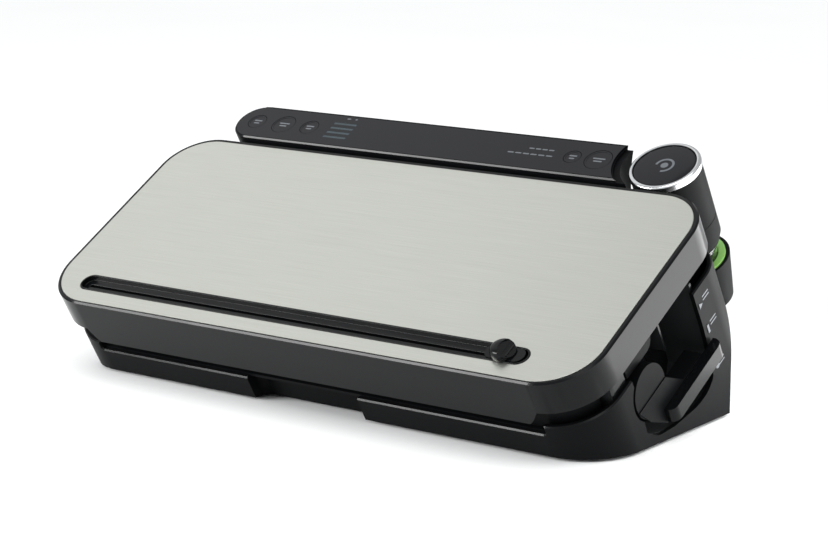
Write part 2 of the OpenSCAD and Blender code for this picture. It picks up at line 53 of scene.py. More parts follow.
MM = 0.001
joints = {joint["name"]: joint for joint in frame["joints"]}
UP = Vector(joints["handheld_lift"]["axis"]).normalized()
ACROSS = Vector((1, 0, 0))
REARWARD = UP.cross(ACROSS)
HINGE_V, HINGE_W = 80.5, -6.8
HUB_V, HUB_W = -31, -58.5
LID_MIDDLE = Vector(joints["lid_hinge"]["pos_m"]) - (REARWARD * HINGE_V + UP * HINGE_W) * MM
SLOPE = Matrix.Translation(LID_MIDDLE) @ Matrix((ACROSS, REARWARD, UP)).transposed().to_4x4()

base_low, base_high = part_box("base_shell")
REAR_WALL = base_high.y
FLOOR_OF_BASE = base_low.z


def at(x, v, w):
    """A point on the bench, from millimetres."""
    return Vector((x, v, w)) * MM


# ---- Bench tools -----------------------------------------------------------------


def alone(piece):
    """Selects one piece and nothing else."""
    if bpy.context.mode != "OBJECT":
        bpy.ops.object.mode_set(mode="OBJECT")
    bpy.ops.object.select_all(action="DESELECT")
    piece.select_set(True)
    bpy.context.view_layer.objects.active = piece
    return piece


def pick(piece, kind, wanted):
    """Opens a piece in edit mode with only the wanted points, edges or faces selected."""
    alone(piece)
    bpy.ops.object.mode_set(mode="EDIT")
    bpy.ops.mesh.select_mode(type=kind)
    bpy.ops.mesh.select_all(action="DESELECT")
    mesh = bmesh.from_edit_mesh(piece.data)
    parts = {"VERT": mesh.verts, "EDGE": mesh.edges, "FACE": mesh.faces}[kind]
    for part in parts:
        if wanted(part):
            part.select_set(True)
    mesh.select_flush_mode()
    bmesh.update_edit_mesh(piece.data)


def middle(edge):
    return (edge.verts[0].co + edge.verts[1].co) / 2 / MM


def upright(edge):
    run = edge.verts[1].co - edge.verts[0].co
    return abs(run.z) > 0.99 * run.length


def block(name, x, v, w):
    """A rectangular blank, from its lowest and highest x, v and w."""
    if bpy.context.mode != "OBJECT":
        bpy.ops.object.mode_set(mode="OBJECT")
    bpy.ops.object.select_all(action="DESELECT")
    low, high = at(x[0], v[0], w[0]), at(x[1], v[1], w[1])
    bpy.ops.mesh.primitive_cube_add(size=1, location=(low + high) / 2)
    piece = bpy.context.object
    piece.name = name
    piece.scale = high - low
    bpy.ops.object.transform_apply(location=True, rotation=True, scale=True)
    return piece


def slab(name, x, v, w, front, rear, steps=16):
    """A blank whose upright corners are rounded, with one radius in front and one behind."""
    piece = block(name, x, v, w)
    half = (v[0] + v[1]) / 2
    for radius, side in ((front, -1), (rear, 1)):
        if radius:
            pick(piece, "EDGE", lambda e: upright(e) and (middle(e).y - half) * side > 0
                 and abs(abs(middle(e).y - half) - (v[1] - v[0]) / 2) < 0.01)
            bpy.ops.mesh.bevel(offset=radius * MM, segments=steps, affect="EDGES")
    return alone(piece)


def disc(name, x, v, w, radius, around=64):
    """An upright round blank."""
    bpy.ops.object.select_all(action="DESELECT")
    bpy.ops.mesh.primitive_cylinder_add(vertices=around, radius=radius * MM,
                                        depth=(w[1] - w[0]) * MM,
                                        location=at(x, v, (w[0] + w[1]) / 2))
    piece = bpy.context.object
    piece.name = name
    bpy.ops.object.transform_apply(location=True, rotation=True, scale=True)
    return piece


def axle(name, x, v, w, radius, around=64):
    """A round blank lying across the lid."""
    bpy.ops.object.select_all(action="DESELECT")
    bpy.ops.mesh.primitive_cylinder_add(vertices=around, radius=radius * MM,
                                        depth=(x[1] - x[0]) * MM,
                                        location=at((x[0] + x[1]) / 2, v, w),
                                        rotation=(0, math.radians(90), 0))
    piece = bpy.context.object
    piece.name = name
    bpy.ops.object.transform_apply(location=True, rotation=True, scale=True)
    return piece


def drawn(name, points, pull, rounds=None, steps=8):
    """A flat outline drawn point by point, its corners rounded, then pulled to a thickness.
    rounds says how far back along its edges a corner is rounded, by the corner's number."""
    bpy.ops.object.select_all(action="DESELECT")
    bpy.ops.mesh.primitive_plane_add(size=MM, location=points[0])
    piece = bpy.context.object
    piece.name = name
    bpy.ops.object.transform_apply(location=True, rotation=True, scale=True)
    pick(piece, "VERT", lambda p: True)
    bpy.ops.mesh.merge(type="CENTER")
    for here, there in zip(points, points[1:]):
        bpy.ops.mesh.extrude_region_move(TRANSFORM_OT_translate={"value": there - here})
    last = len(points) - 1
    pick(piece, "VERT", lambda p: p.index in (0, last))
    bpy.ops.mesh.edge_face_add()
    pick(piece, "VERT", lambda p: True)
    bpy.ops.mesh.edge_face_add()
    corners = {}
    for number, setback in (rounds or {}).items():
        corners.setdefault(setback, []).append(points[number])
    for setback, places in corners.items():
        pick(piece, "VERT", lambda p: any((p.co - q).length < 1e-5 for q in places))
        bpy.ops.mesh.bevel(offset=setback * MM, segments=steps, affect="VERTICES")
    pick(piece, "FACE", lambda f: True)
    bpy.ops.mesh.extrude_region_move(TRANSFORM_OT_translate={"value": pull})
    bpy.ops.mesh.select_all(action="SELECT")
    bpy.ops.mesh.normals_make_consistent(inside=False)
    return alone(piece)


def side_plate(name, points, x, rounds=None, steps=8):
    """A piece drawn in side view as (v, w) and pulled across from one x to another."""
    corners = [at(x[0], v, w) for v, w in points]
    return drawn(name, corners, at(x[1] - x[0], 0, 0), rounds, steps)


def turned(name, x, v, profile, around=96):
    """A turned piece: a ring at the first (radius, height), then extruded and scaled along
    the profile. A profile that ends where it began is a closed ring."""
    bpy.ops.object.select_all(action="DESELECT")
    bpy.ops.mesh.primitive_circle_add(vertices=around, radius=profile[0][0] * MM,
                                      location=at(x, v, profile[0][1]))
    piece = bpy.context.object
    piece.name = name
    bpy.ops.object.transform_apply(location=True, rotation=True, scale=True)
    pick(piece, "VERT", lambda p: True)
    for (r0, w0), (r1, w1) in zip(profile, profile[1:]):
        rise = at(0, 0, w1 - w0)
        bpy.ops.mesh.extrude_region_move(TRANSFORM_OT_translate={"value": rise})
        bpy.ops.transform.resize(value=(r1 / r0, r1 / r0, 1), center_override=at(x, v, w1))
    bpy.ops.mesh.select_all(action="SELECT")
    bpy.ops.mesh.remove_doubles(threshold=1e-6)
    if profile[0] != profile[-1]:
        for _, height in (profile[0], profile[-1]):
            pick(piece, "EDGE", lambda e: e.is_boundary and abs(middle(e).z - height) < 0.01)
            bpy.ops.mesh.edge_face_add()
    pick(piece, "FACE", lambda f: True)
    bpy.ops.mesh.normals_make_consistent(inside=False)
    return alone(piece)


def shape(piece, tool, how):
    """Works one piece with another, which is used up."""
    step = piece.modifiers.new("shape", "BOOLEAN")
    step.operation = how
    step.object = tool
    alone(piece)
    bpy.ops.object.modifier_apply(modifier=step.name)
    bpy.data.objects.remove(tool)
    return piece


def cut(piece, *tools):
    """Takes the tools' shapes out of a piece."""
    for tool in tools:
        shape(piece, tool, "DIFFERENCE")
    return piece


def weld(piece, *others):
    """Makes other shapes one with a piece."""
    for other in others:
        shape(piece, other, "UNION")
    return piece


def keep(piece, tool):
    """Keeps only what lies inside the tool."""
    return shape(piece, tool, "INTERSECT")


def soften(piece, width, steps=2, angle=35):
    """Breaks the sharp edges, as a moulded or pressed part has them."""
    step = piece.modifiers.new("edge", "BEVEL")
    step.width = width * MM
    step.segments = steps
    step.limit_method = "ANGLE"
    step.angle_limit = math.radians(angle)
    alone(piece)
    bpy.ops.object.modifier_apply(modifier=step.name)
    return piece


def polish(piece, wanted, rest, polished):
    """Gives some faces a polish, and the rest another finish."""
    piece.data.materials.clear()
    piece.data.materials.append(rest)
    piece.data.materials.append(polished)
    pick(piece, "FACE", wanted)
    piece.active_material_index = 1
    bpy.ops.object.material_slot_assign()
    return alone(piece)


def joined(pieces):
    """Makes several pieces one, under the first one's name."""
    alone(pieces[0])
    for piece in pieces:
        piece.select_set(True)
    bpy.ops.object.join()
    return alone(pieces[0])


def untilt(tool):
    """Lays a shape drawn level, in the object's own frame, onto the bench."""
    alone(tool).matrix_world = SLOPE.inverted()
    bpy.ops.object.transform_apply(location=True, rotation=True, scale=True)
    return tool


def settle(piece, body, slot, material, *stands_for, smooth=35):
    """Tilts a finished piece into place, smooths it, and gives it its finish and its body."""
    alone(piece).matrix_world = SLOPE
    bpy.ops.object.transform_apply(location=True, rotation=True, scale=True)
    bpy.ops.object.shade_smooth_by_angle(angle=math.radians(smooth))
    step = piece.modifiers.new("flats", "WEIGHTED_NORMAL")
    step.keep_sharp = True
    step.weight = 100
    bpy.ops.object.modifier_apply(modifier=step.name)
    if len(piece.data.materials) > 1:
        piece.data.materials[0] = material
    else:
        piece.data.materials.clear()
        piece.data.materials.append(material)
    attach(piece, body)
    if stands_for:
        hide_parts(*stands_for)
    return piece


# ---- Camera, light and floor -----------------------------------------------------


def aim(thing, place, target):
    thing.location = place
    thing.rotation_euler = (target - place).to_track_quat("-Z", "Y").to_euler()


scene = bpy.context.scene
scene.view_settings.view_transform = "Standard"

lens = bpy.data.cameras.new("camera")
lens.lens = 104.1
lens.sensor_width = 36
camera = bpy.data.objects.new("camera", lens)
scene.collection.objects.link(camera)
azimuth, elevation = math.radians(36.6), math.radians(11.9)
ahead = Vector((-math.sin(azimuth) * math.cos(elevation), math.cos(azimuth) * math.cos(elevation),
                -math.sin(elevation)))
eye = LID_MIDDLE + at(942.6, -1215.2, 304.4)
aim(camera, eye, eye + ahead)
scene.camera = camera


def softbox(name, place, target, width, height, power, tint="#ffffff"):
    """A soft studio lamp that the lens doesn't see."""
    light = bpy.data.lights.new(name, "AREA")
    light.shape = "RECTANGLE"
    light.size = width
    light.size_y = height
    light.energy = power
    light.color = linear(tint)[:3]
    lamp = bpy.data.objects.new(name, light)
    scene.collection.objects.link(lamp)
    aim(lamp, Vector(place), Vector(target))
    lamp.visible_camera = False
    return lamp


def linear(code):
    """An sRGB hex colour as linear values."""
    parts = [int(code[i:i + 2], 16) / 255 for i in (1, 3, 5)]
    return [p / 12.92 if p <= 0.04045 else ((p + 0.055) / 1.055) ** 2.4 for p in parts] + [1]


softbox("overhead", (-1.1, 0.35, 1.25), (0, 0, 0.1), 1.4, 1.2, 2.3)
softbox("side", (0.33, 0.11, 0.085), (0.2, 0.03, 0.085), 0.38, 0.17, 0.75)
softbox("front left", (-0.93, -1.32, 0.46), (0, -0.1, 0.06), 1.0, 0.4, 28)
sun = bpy.data.lights.new("top light", "SUN")
sun.energy = 1.9
sun.angle = math.radians(60)
top_light = bpy.data.objects.new("top light", sun)
scene.collection.objects.link(top_light)
aim(top_light, Vector((0.3, -0.5, 1)), Vector((0, 0, 0)))

world = bpy.data.worlds.new("studio")
scene.world = world
world.use_nodes = True
world.node_tree.nodes["Background"].inputs["Color"].default_value = linear("#fbfcfd")
world.node_tree.nodes["Background"].inputs["Strength"].default_value = 0.55


# ---- Materials -------------------------------------------------------------------


def add(tree, kind, inputs=None, **settings):
    """Adds a node with its settings, and its inputs as values or as links."""
    node = tree.nodes.new(kind)
    for name, value in settings.items():
        setattr(node, name, value)
    for name, value in (inputs or {}).items():
        if isinstance(value, bpy.types.NodeSocket):
            tree.links.new(value, node.inputs[name])
        else:
            node.inputs[name].default_value = value
    return node


def finish(name, **values):
    """A new material: its node tree, its shader, and its object coordinates."""
    material = bpy.data.materials.new(name)
    material.use_nodes = True
    tree = material.node_tree
    shader = tree.nodes["Principled BSDF"]
    for socket, value in values.items():
        shader.inputs[socket.replace("_", " ")].default_value = value
    place = add(tree, "ShaderNodeTexCoord").outputs["Object"]
    return material, tree, shader, place


def moulded(name, low, high, roughness, spread, grain, depth, bend=1.54, shine=0.5):
    """Moulded plastic: a fine grain in the surface, and a little drift in colour and gloss.
    low and high are the colours it drifts between, grain is in millimetres, bend is the index
    of refraction, and shine is how much of its mirror gloss the surface keeps."""
    material, tree, shader, place = finish(name, IOR=bend, Specular_IOR_Level=shine)
    cloud = add(tree, "ShaderNodeTexNoise",
                {"Vector": place, "Scale": 1 / (35 * MM), "Detail": 3.0})
    colour = add(tree, "ShaderNodeValToRGB", {"Fac": cloud.outputs["Fac"]})
    colour.color_ramp.elements[0].color = linear(low)
    colour.color_ramp.elements[1].color = linear(high)
    pits = add(tree, "ShaderNodeTexNoise",
               {"Vector": place, "Scale": 1 / (grain * MM), "Detail": 2.0, "Roughness": 0.6})
    gloss = add(tree, "ShaderNodeMapRange", {"Value": cloud.outputs["Fac"], "From Min": 0.3,
                                             "From Max": 0.7, "To Min": roughness - spread,
                                             "To Max": roughness + spread})
    relief = add(tree, "ShaderNodeBump", {"Height": pits.outputs["Fac"], "Strength": 1.0,
                                          "Distance": depth * MM})
    tree.links.new(colour.outputs["Color"], shader.inputs["Base Color"])
    tree.links.new(gloss.outputs["Result"], shader.inputs["Roughness"])
    tree.links.new(relief.outputs["Normal"], shader.inputs["Normal"])
    return material


# Black ABS from a spark-eroded mould: satin, with a grain of about 0.3 mm, drawn at 0.7 mm.
satin_abs = moulded("black ABS, spark-eroded satin", "#090a0b", "#0d0e0f", 0.44, 0.04, 0.7, 0.008,
                    1.42, 0.07)
# Black ABS from a polished mould: glossy enough to mirror a lamp, with a faint orange peel.
polished_abs = moulded("black ABS, polished mould", "#090a0b", "#0d0e0f", 0.16, 0.03, 6, 0.002,
                       1.42, 0.21)
# Black ABS from a blasted mould, on hidden and inner faces: flat and dull.
matt_abs = moulded("black ABS, blasted matt", "#242627", "#2b2d2e", 0.62, 0.05, 0.8, 0.02,
                   1.42, 0.2)
# Acrylic panel printed on its back: deep black with a hard gloss.
panel_acrylic = moulded("black acrylic, back printed", "#0b0c10", "#0f1015", 0.07, 0.02, 9, 0.0005,
                        1.42, 0.28)
# Polypropylene tray: grey, waxy and slightly cloudy.
tray_pp = moulded("grey polypropylene, moulded", "#555b5e", "#62686b", 0.45, 0.05, 1.2, 0.015)
# Glass-filled nylon pump housing: dark grey with short fibres that make it rough.
filled_nylon = moulded("glass-filled nylon, moulded", "#33363a", "#43474b", 0.6, 0.08, 0.9, 0.05)
# Rubber feet and tip: dull black, slightly dusty.
foot_rubber = moulded("black rubber, moulded", "#141414", "#1e1e1f", 0.8, 0.06, 0.9, 0.02)
# Closed-cell foam: dark grey with open pores about 0.6 mm across.
foam = moulded("EVA foam, closed cell", "#2c2e2f", "#3c3f40", 0.9, 0.04, 0.9, 0.15)
# Silicone pressure strip: brick red and matt.
red_silicone = moulded("red silicone, moulded", "#6b2b22", "#7b362b", 0.6, 0.06, 1.5, 0.02)
# Silicone seal of the reservoir: leaf green, satin.
green_silicone = moulded("green silicone, moulded", "#76b14f", "#8cc468", 0.42, 0.05, 1.5, 0.01)
green_silicone.node_tree.nodes["Principled BSDF"].inputs["Subsurface Weight"].default_value = 0.15
green_silicone.node_tree.nodes["Principled BSDF"].inputs["Subsurface Scale"].default_value = 0.002
# Silicone hose: milky and soft looking.
hose_silicone = moulded("milky silicone, extruded", "#b4b6b0", "#c6c8c2", 0.5, 0.05, 2, 0.01)
# Faint grey ink for the marks on the panel: only just lighter than the acrylic.
faint_ink = moulded("dim grey screen-print ink", "#505459", "#5c6166", 0.45, 0.05, 0.8, 0.005)
# Phenolic laminate of the heater bar: brown-black with a faint paper grain.
laminate = moulded("phenolic laminate, machined", "#2e2620", "#3d332a", 0.5, 0.06, 1.4, 0.02)
# Solder mask on the circuit boards: green, smooth, slightly mottled.
solder_mask = moulded("green solder mask", "#1d4a2b", "#2a6038", 0.35, 0.05, 3, 0.01)
# Shrink sleeve of the battery: blue, smooth, with soft creases.
shrink_sleeve = moulded("blue PVC shrink sleeve", "#2f4f6d", "#3b5f80", 0.3, 0.05, 4, 0.03)


def brushed(name, low, high, roughness, length, width, depth, along=(0, 0, 0)):
    """Brushed or drawn metal: fine streaks, long one way and narrow the other, in mm."""
    material, tree, shader, place = finish(name, Metallic=1.0)
    turned_to = add(tree, "ShaderNodeMapping", {"Vector": place, "Rotation": along})
    stretched = add(tree, "ShaderNodeMapping", {"Vector": turned_to.outputs["Vector"],
                    "Scale": (1 / (length * MM), 1 / (width * MM), 1 / (width * MM))})
    streaks = add(tree, "ShaderNodeTexNoise", {"Vector": stretched.outputs["Vector"], "Scale": 1.0,
                                               "Detail": 4.0, "Roughness": 0.65})
    colour = add(tree, "ShaderNodeValToRGB", {"Fac": streaks.outputs["Fac"]})
    colour.color_ramp.elements[0].position = 0.25
    colour.color_ramp.elements[0].color = linear(low)
    colour.color_ramp.elements[1].position = 0.75
    colour.color_ramp.elements[1].color = linear(high)
    gloss = add(tree, "ShaderNodeMapRange", {"Value": streaks.outputs["Fac"], "From Min": 0.2,
                                             "From Max": 0.8, "To Min": roughness - 0.04,
                                             "To Max": roughness + 0.05})
    relief = add(tree, "ShaderNodeBump", {"Height": streaks.outputs["Fac"], "Strength": 1.0,
                                          "Distance": depth * MM})
    tree.links.new(colour.outputs["Color"], shader.inputs["Base Color"])
    tree.links.new(gloss.outputs["Result"], shader.inputs["Roughness"])
    tree.links.new(relief.outputs["Normal"], shader.inputs["Normal"])
    return material


TILT = (math.atan2(UP.y, UP.z), 0, 0)
# Stainless sheet brushed along its length: a warm pale grey with a broad, soft sheen. The real
# strokes are about 0.05 mm wide, drawn at 0.35 mm so that they show.
lid_steel = brushed("stainless steel, brushed lengthways", "#c4c6be", "#d6d8d0", 0.34, 60, 0.35,
                    0.0009, TILT)
# Zinc-plated steel of pins, screws, hook and blade: bright grey, slightly blue.
plated_steel = brushed("steel, zinc plated", "#a4a8ac", "#b9bdc0", 0.28, 9, 1.2, 0.003)
# Satin chrome on the ring of the hand-held sealer: bright, with a soft edge to its highlights.
satin_chrome = brushed("satin chrome on ABS", "#d2d4d6", "#dfe1e2", 0.2, 12, 3, 0.001)
# Plated motor can: dull silver with drawing marks along it.
motor_can = brushed("steel can, drawn and plated", "#8f9396", "#a3a7aa", 0.4, 14, 0.9, 0.004)
# Gold-plated brass contacts: warm and smooth.
contact_gold = brushed("brass, gold plated", "#c9a55a", "#d6b56d", 0.22, 4, 0.8, 0.002)

# Transformer: varnished laminations as fine bands, over a copper-brown winding.
winding, tree, shader, place = finish("varnished laminations and winding", Roughness=0.45)
bands = add(tree, "ShaderNodeTexWave", {"Vector": place, "Scale": 1 / (20 * MM), "Distortion": 0.4},
            bands_direction="X")
shade = add(tree, "ShaderNodeValToRGB", {"Fac": bands.outputs["Fac"]})
shade.color_ramp.elements[0].color = linear("#5a4a1f")
shade.color_ramp.elements[1].color = linear("#8b7434")
ridges = add(tree, "ShaderNodeBump", {"Height": bands.outputs["Fac"], "Distance": 0.1 * MM})
tree.links.new(shade.outputs["Color"], shader.inputs["Base Color"])
tree.links.new(ridges.outputs["Normal"], shader.inputs["Normal"])

# Glass cloth tape over the heating strip: tan, with a plain weave of 0.5 mm threads drawn at 1 mm.
glass_tape, tree, shader, place = finish("PTFE glass cloth tape", Roughness=0.4)
laid = add(tree, "ShaderNodeMapping", {"Vector": place, "Rotation": TILT})
threads = [add(tree, "ShaderNodeTexWave", {"Vector": laid.outputs["Vector"],
                                           "Scale": 1 / (20 * 1.0 * MM)}, bands_direction=way)
           for way in ("X", "Y")]
weave = add(tree, "ShaderNodeMath", {0: threads[0].outputs["Fac"], 1: threads[1].outputs["Fac"]},
            operation="MAXIMUM")
shade = add(tree, "ShaderNodeValToRGB", {"Fac": weave.outputs["Value"]})
shade.color_ramp.elements[0].color = linear("#6f5233")
shade.color_ramp.elements[1].color = linear("#93714b")
ridges = add(tree, "ShaderNodeBump", {"Height": weave.outputs["Value"], "Distance": 0.08 * MM})
tree.links.new(shade.outputs["Color"], shader.inputs["Base Color"])
tree.links.new(ridges.outputs["Normal"], shader.inputs["Normal"])

# Tinted acrylic lenses: dim blue-green, mottled in a cloud about 6 mm across.
lens_acrylic, tree, shader, place = finish("tinted acrylic lens", Roughness=0.2, IOR=1.49)
cloud = add(tree, "ShaderNodeTexNoise", {"Vector": place, "Scale": 1 / (6 * MM), "Detail": 1.0})
shade = add(tree, "ShaderNodeValToRGB", {"Fac": cloud.outputs["Fac"]})
shade.color_ramp.elements[0].color = linear("#17242a")
shade.color_ramp.elements[1].color = linear("#223840")
tree.links.new(shade.outputs["Color"], shader.inputs["Base Color"])

# Clear copolyester reservoir: glassy, thin, with a faint haze.
clear_copolyester, tree, shader, place = finish("clear copolyester, moulded", IOR=1.57,
                                                Transmission_Weight=1.0)
shader.inputs["Base Color"].default_value = linear("#f2f6f6")
cloud = add(tree, "ShaderNodeTexNoise", {"Vector": place, "Scale": 1 / (12 * MM), "Detail": 2.0})
haze = add(tree, "ShaderNodeMapRange", {"Value": cloud.outputs["Fac"], "To Min": 0.03,
                                        "To Max": 0.12})
tree.links.new(haze.outputs["Result"], shader.inputs["Roughness"])

# Studio floor: a pale painted sweep, barely mottled.
floor_paint, tree, shader, place = finish("pale matt paint", Roughness=0.9)
cloud = add(tree, "ShaderNodeTexNoise", {"Vector": place, "Scale": 3.0, "Detail": 2.0})
shade = add(tree, "ShaderNodeValToRGB", {"Fac": cloud.outputs["Fac"]})
shade.color_ramp.elements[0].color = linear("#f4f5f5")
shade.color_ramp.elements[1].color = linear("#f8f9f9")
tree.links.new(shade.outputs["Color"], shader.inputs["Base Color"])

bpy.ops.object.select_all(action="DESELECT")
bpy.ops.mesh.primitive_plane_add(size=14, location=(0, 0, 0))
floor = bpy.context.object
floor.name = "floor"
floor.data.materials.append(floor_paint)


# ---- Lid -------------------------------------------------------------------------

LID_X, LID_FRONT, LID_REAR = 220, -97, 86.5
LID_WALL, LID_SIDE_W, SKIRT_W, SKIRT_X = 2.6, -24, -34.5, 184
HINGE_PLACES, HINGE_ARM = (-150, 110), 5.6
STEEL_X, STEEL_FRONT, STEEL_REAR = 216.7, -94.9, 83
SLOT = dict(x=(-193, 174), v=-76.1, r=7.5)


def slot_blank(name, grow, w):
    half = SLOT["r"] + grow
    return slab(name, (SLOT["x"][0] - grow, SLOT["x"][1] + grow),
                (SLOT["v"] - half, SLOT["v"] + half), w, half - 0.01, half - 0.01)


lid = slab("lid_moulding", (-LID_X, LID_X), (LID_FRONT, LID_REAR), (LID_SIDE_W, -0.2), 38, 35, 20)
pick(lid, "EDGE", lambda e: all(p.co.z > -0.3 * MM for p in e.verts))
bpy.ops.mesh.bevel(offset=1.1 * MM, segments=1, affect="EDGES")
pick(lid, "FACE", lambda f: f.normal.z < -0.9)
bpy.ops.mesh.inset(thickness=LID_WALL * MM)
bpy.ops.mesh.extrude_region_move(TRANSFORM_OT_translate={"value": at(0, 0, 20.8)})
# The front wall goes on down as a skirt, narrower towards its foot.
for x in (-SKIRT_X, SKIRT_X):
    pick(lid, "FACE", lambda f: True)
    bpy.ops.mesh.bisect(plane_co=at(x, 0, 0), plane_no=(1, 0, 0))
pick(lid, "FACE", lambda f: f.normal.z < -0.9 and f.calc_center_median().z < -23 * MM
     and f.calc_center_median().y < -94 * MM and abs(f.calc_center_median().x) < SKIRT_X * MM)
bpy.ops.mesh.extrude_region_move(
    TRANSFORM_OT_translate={"value": at(0, 0, SKIRT_W - LID_SIDE_W)})
bpy.ops.transform.resize(value=(0.965, 1, 1), center_override=at(0, LID_FRONT, SKIRT_W))
pick(lid, "EDGE", lambda e: abs(middle(e).z - SKIRT_W) < 0.1 and abs(middle(e).x) > 170
     and abs(e.verts[0].co.x - e.verts[1].co.x) < 0.01 * MM)
bpy.ops.mesh.bevel(offset=7 * MM, segments=6, affect="EDGES")
cut(lid, slab("tool", (-STEEL_X - 0.15, STEEL_X + 0.15), (STEEL_FRONT - 0.15, STEEL_REAR + 0.15),
              (-0.8, 2), 35.9, 31.7, 20))
weld(lid, slot_blank("tool", 2, (-8.2, -2.9)))
cut(lid, slot_blank("tool", 0.05, (-20, 5)))
# Hinge: a gap for each arm of the base, between two ears.
for x in HINGE_PLACES:
    cut(lid, block("tool", (x - HINGE_ARM, x + HINGE_ARM), (80.5, 87.5), (-30, -3.2)))
    for ear in ((x - 12.5, x - HINGE_ARM), (x + HINGE_ARM, x + 12.5)):
        weld(lid, axle("tool", ear, HINGE_V, HINGE_W, 3.4, 32),
             block("tool", ear, (77.1, 84.5), (-6.8, -3)))
soften(lid, 0.18, 2)
settle(lid, "lid", "black_abs", polished_abs, "lid_shell")

steel = slab("steel_skin", (-STEEL_X, STEEL_X), (STEEL_FRONT, STEEL_REAR), (-0.8, 0), 35.75, 31.55,
             20)
cut(steel, slot_blank("tool", 0.1, (-5, 5)))
pick(steel, "EDGE", lambda e: all(p.co.z > -0.01 * MM for p in e.verts)
     and sum(f.normal.z > 0.9 for f in e.link_faces) == 1)
bpy.ops.mesh.bevel(offset=0.3 * MM, segments=2, affect="EDGES")
settle(steel, "lid", "brushed_lid_steel", lid_steel, "steel_plate", smooth=25)

rail = slot_blank("cutter_track", -0.05, (-10, 0.35))
cut(rail, slot_blank("tool", -1.3, (-3.4, 5)))
cut(rail, block("tool", (-187, 168), (SLOT["v"] - 1.1, SLOT["v"] + 1.1), (-20, 0)))
soften(rail, 0.4, 3)
settle(rail, "lid", "dark_abs", polished_abs, "cutter_rail")

# Knob: a carriage in the slot, and a round thumb piece with a ribbed hollow in its right side.
KNOB_X = 157
knob = slab("cutter_knob_moulding", (KNOB_X - 14, KNOB_X + 14), (SLOT["v"] - 5.9, SLOT["v"] + 5.9),
            (-3.2, 0.6), 5.8, 5.8)
thumb = turned("tool", KNOB_X - 1, SLOT["v"], [(8.2, 0.3), (8.4, 1.6), (8.2, 3.6), (7.4, 5.6),
                                               (5.8, 6.8), (3, 7.1)], 48)
hollow = disc("tool2", KNOB_X + 6, SLOT["v"], (2.2, 14), 9.5, 48)
pick(hollow, "FACE", lambda f: True)
bpy.ops.transform.rotate(value=math.radians(-28), orient_axis="Y",
                         center_override=at(KNOB_X + 6, SLOT["v"], 2.2))
cut(thumb, alone(hollow))
weld(knob, thumb)
for x, height in ((KNOB_X + 1.2, 4.6), (KNOB_X + 4.2, 3.6)):
    weld(knob, block("tool", (x - 0.6, x + 0.6), (SLOT["v"] - 5, SLOT["v"] + 5), (0.4, height)))
weld(knob, block("tool", (KNOB_X - 5, KNOB_X + 5), (SLOT["v"] - 0.8, SLOT["v"] + 0.8), (-16, -3)))
soften(knob, 0.5, 3)
settle(knob, "cutter", "black_abs", polished_abs, "cutter_knob")

keeper = side_plate("lid_keeper_tongue", [(-42, -23), (-42, -40.8), (-8, -40.8), (-8, -23)],
                    (206, 212), {2: 8, 1: 2})
soften(keeper, 0.6, 3)
settle(keeper, "lid", "black_abs", satin_abs, "lid_keeper")


# ---- Base ------------------------------------------------------------------------

BASE_X, BASE_FRONT, WALL = 217, -94, 3
RIM_W, FRONT_RIM_W = -38.5, -45.5


def base_blank(name, inset, top, tail=0):
    """The outer form of the base, or its inner form a wall's thickness in."""
    blank = slab(name, (-BASE_X + inset, BASE_X - inset), (BASE_FRONT + inset, LID_REAR - inset),
                 (-215, top), 37 - inset, 30 - inset, 18)
    low = FLOOR_OF_BASE / MM
    room = block("room", (-250, 250), (-150, REAR_WALL / MM - inset), (low - tail, 200))
    return keep(blank, untilt(room))


def notch_blank(name, grow, top):
    return slab(name, (-53 - grow, 38.5 + grow), (BASE_FRONT - 20, -82 + grow), (-140, top),
                0, 6 + grow, 6)


shell = base_blank("base_moulding", 0, RIM_W)
inside = base_blank("tool", WALL, 20, 5)
cut(inside, notch_blank("tool2", WALL, 30))
cut(shell, inside, notch_blank("tool2", 0, 30))
rim_step = block("tool", (-183, 182), (BASE_FRONT - 5, BASE_FRONT + WALL + 0.5),
                 (FRONT_RIM_W, 0))
pick(rim_step, "EDGE", lambda e: abs(middle(e).z - FRONT_RIM_W) < 0.01 and abs(middle(e).x) > 180)
bpy.ops.mesh.bevel(offset=2.2 * MM, segments=4, affect="EDGES")
cut(shell, alone(rim_step))
cut(shell, block("tool", (-60, 46), (BASE_FRONT + WALL, -75), (FRONT_RIM_W - 1.2, 0)))
latch_hole = side_plate("tool", [(-44, -20), (-44, -64), (-45.5, -80), (-37, -91), (-18, -99.5),
                                 (11, -108), (24, -108), (33.5, -104), (36.5, -88), (38, -66),
                                 (37.5, -20)], (213, 222), {3: 5, 5: 6, 6: 4, 7: 3})
cut(shell, latch_hole, axle("tool2", (213, 222), HUB_V, HUB_W, 19.2))
# Ten cooling slots and the inlet's opening go through the rear wall.
through_rear = (REAR_WALL / MM - 9, REAR_WALL / MM + 5)
for n in range(10):
    left = 27.25 + 9 * n
    cut(shell, untilt(block("tool", (left, left + 3.5), through_rear, (22, 50))))
inlet_low, inlet_high = (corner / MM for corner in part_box("mains_inlet"))
cut(shell, untilt(block("tool", (inlet_low.x + 2, inlet_high.x - 2), through_rear,
                        (inlet_low.z + 2, inlet_high.z - 2))))


def base_rim(edge):
    """True for the outer edges along the top of the base, and up the steps at its front."""
    spot = middle(edge)
    if not -45.6 < spot.z < -38.4 or len(edge.link_faces) != 2:
        return False
    outer = [abs(f.normal.z) < 0.1 and f.normal.x * spot.x + f.normal.y * (spot.y + 4) > 50
             for f in edge.link_faces]
    return outer[0] != outer[1] and any(f.normal.z > 0.15 or abs(f.normal.x) > 0.99
                                        for f, out in zip(edge.link_faces, outer) if not out)


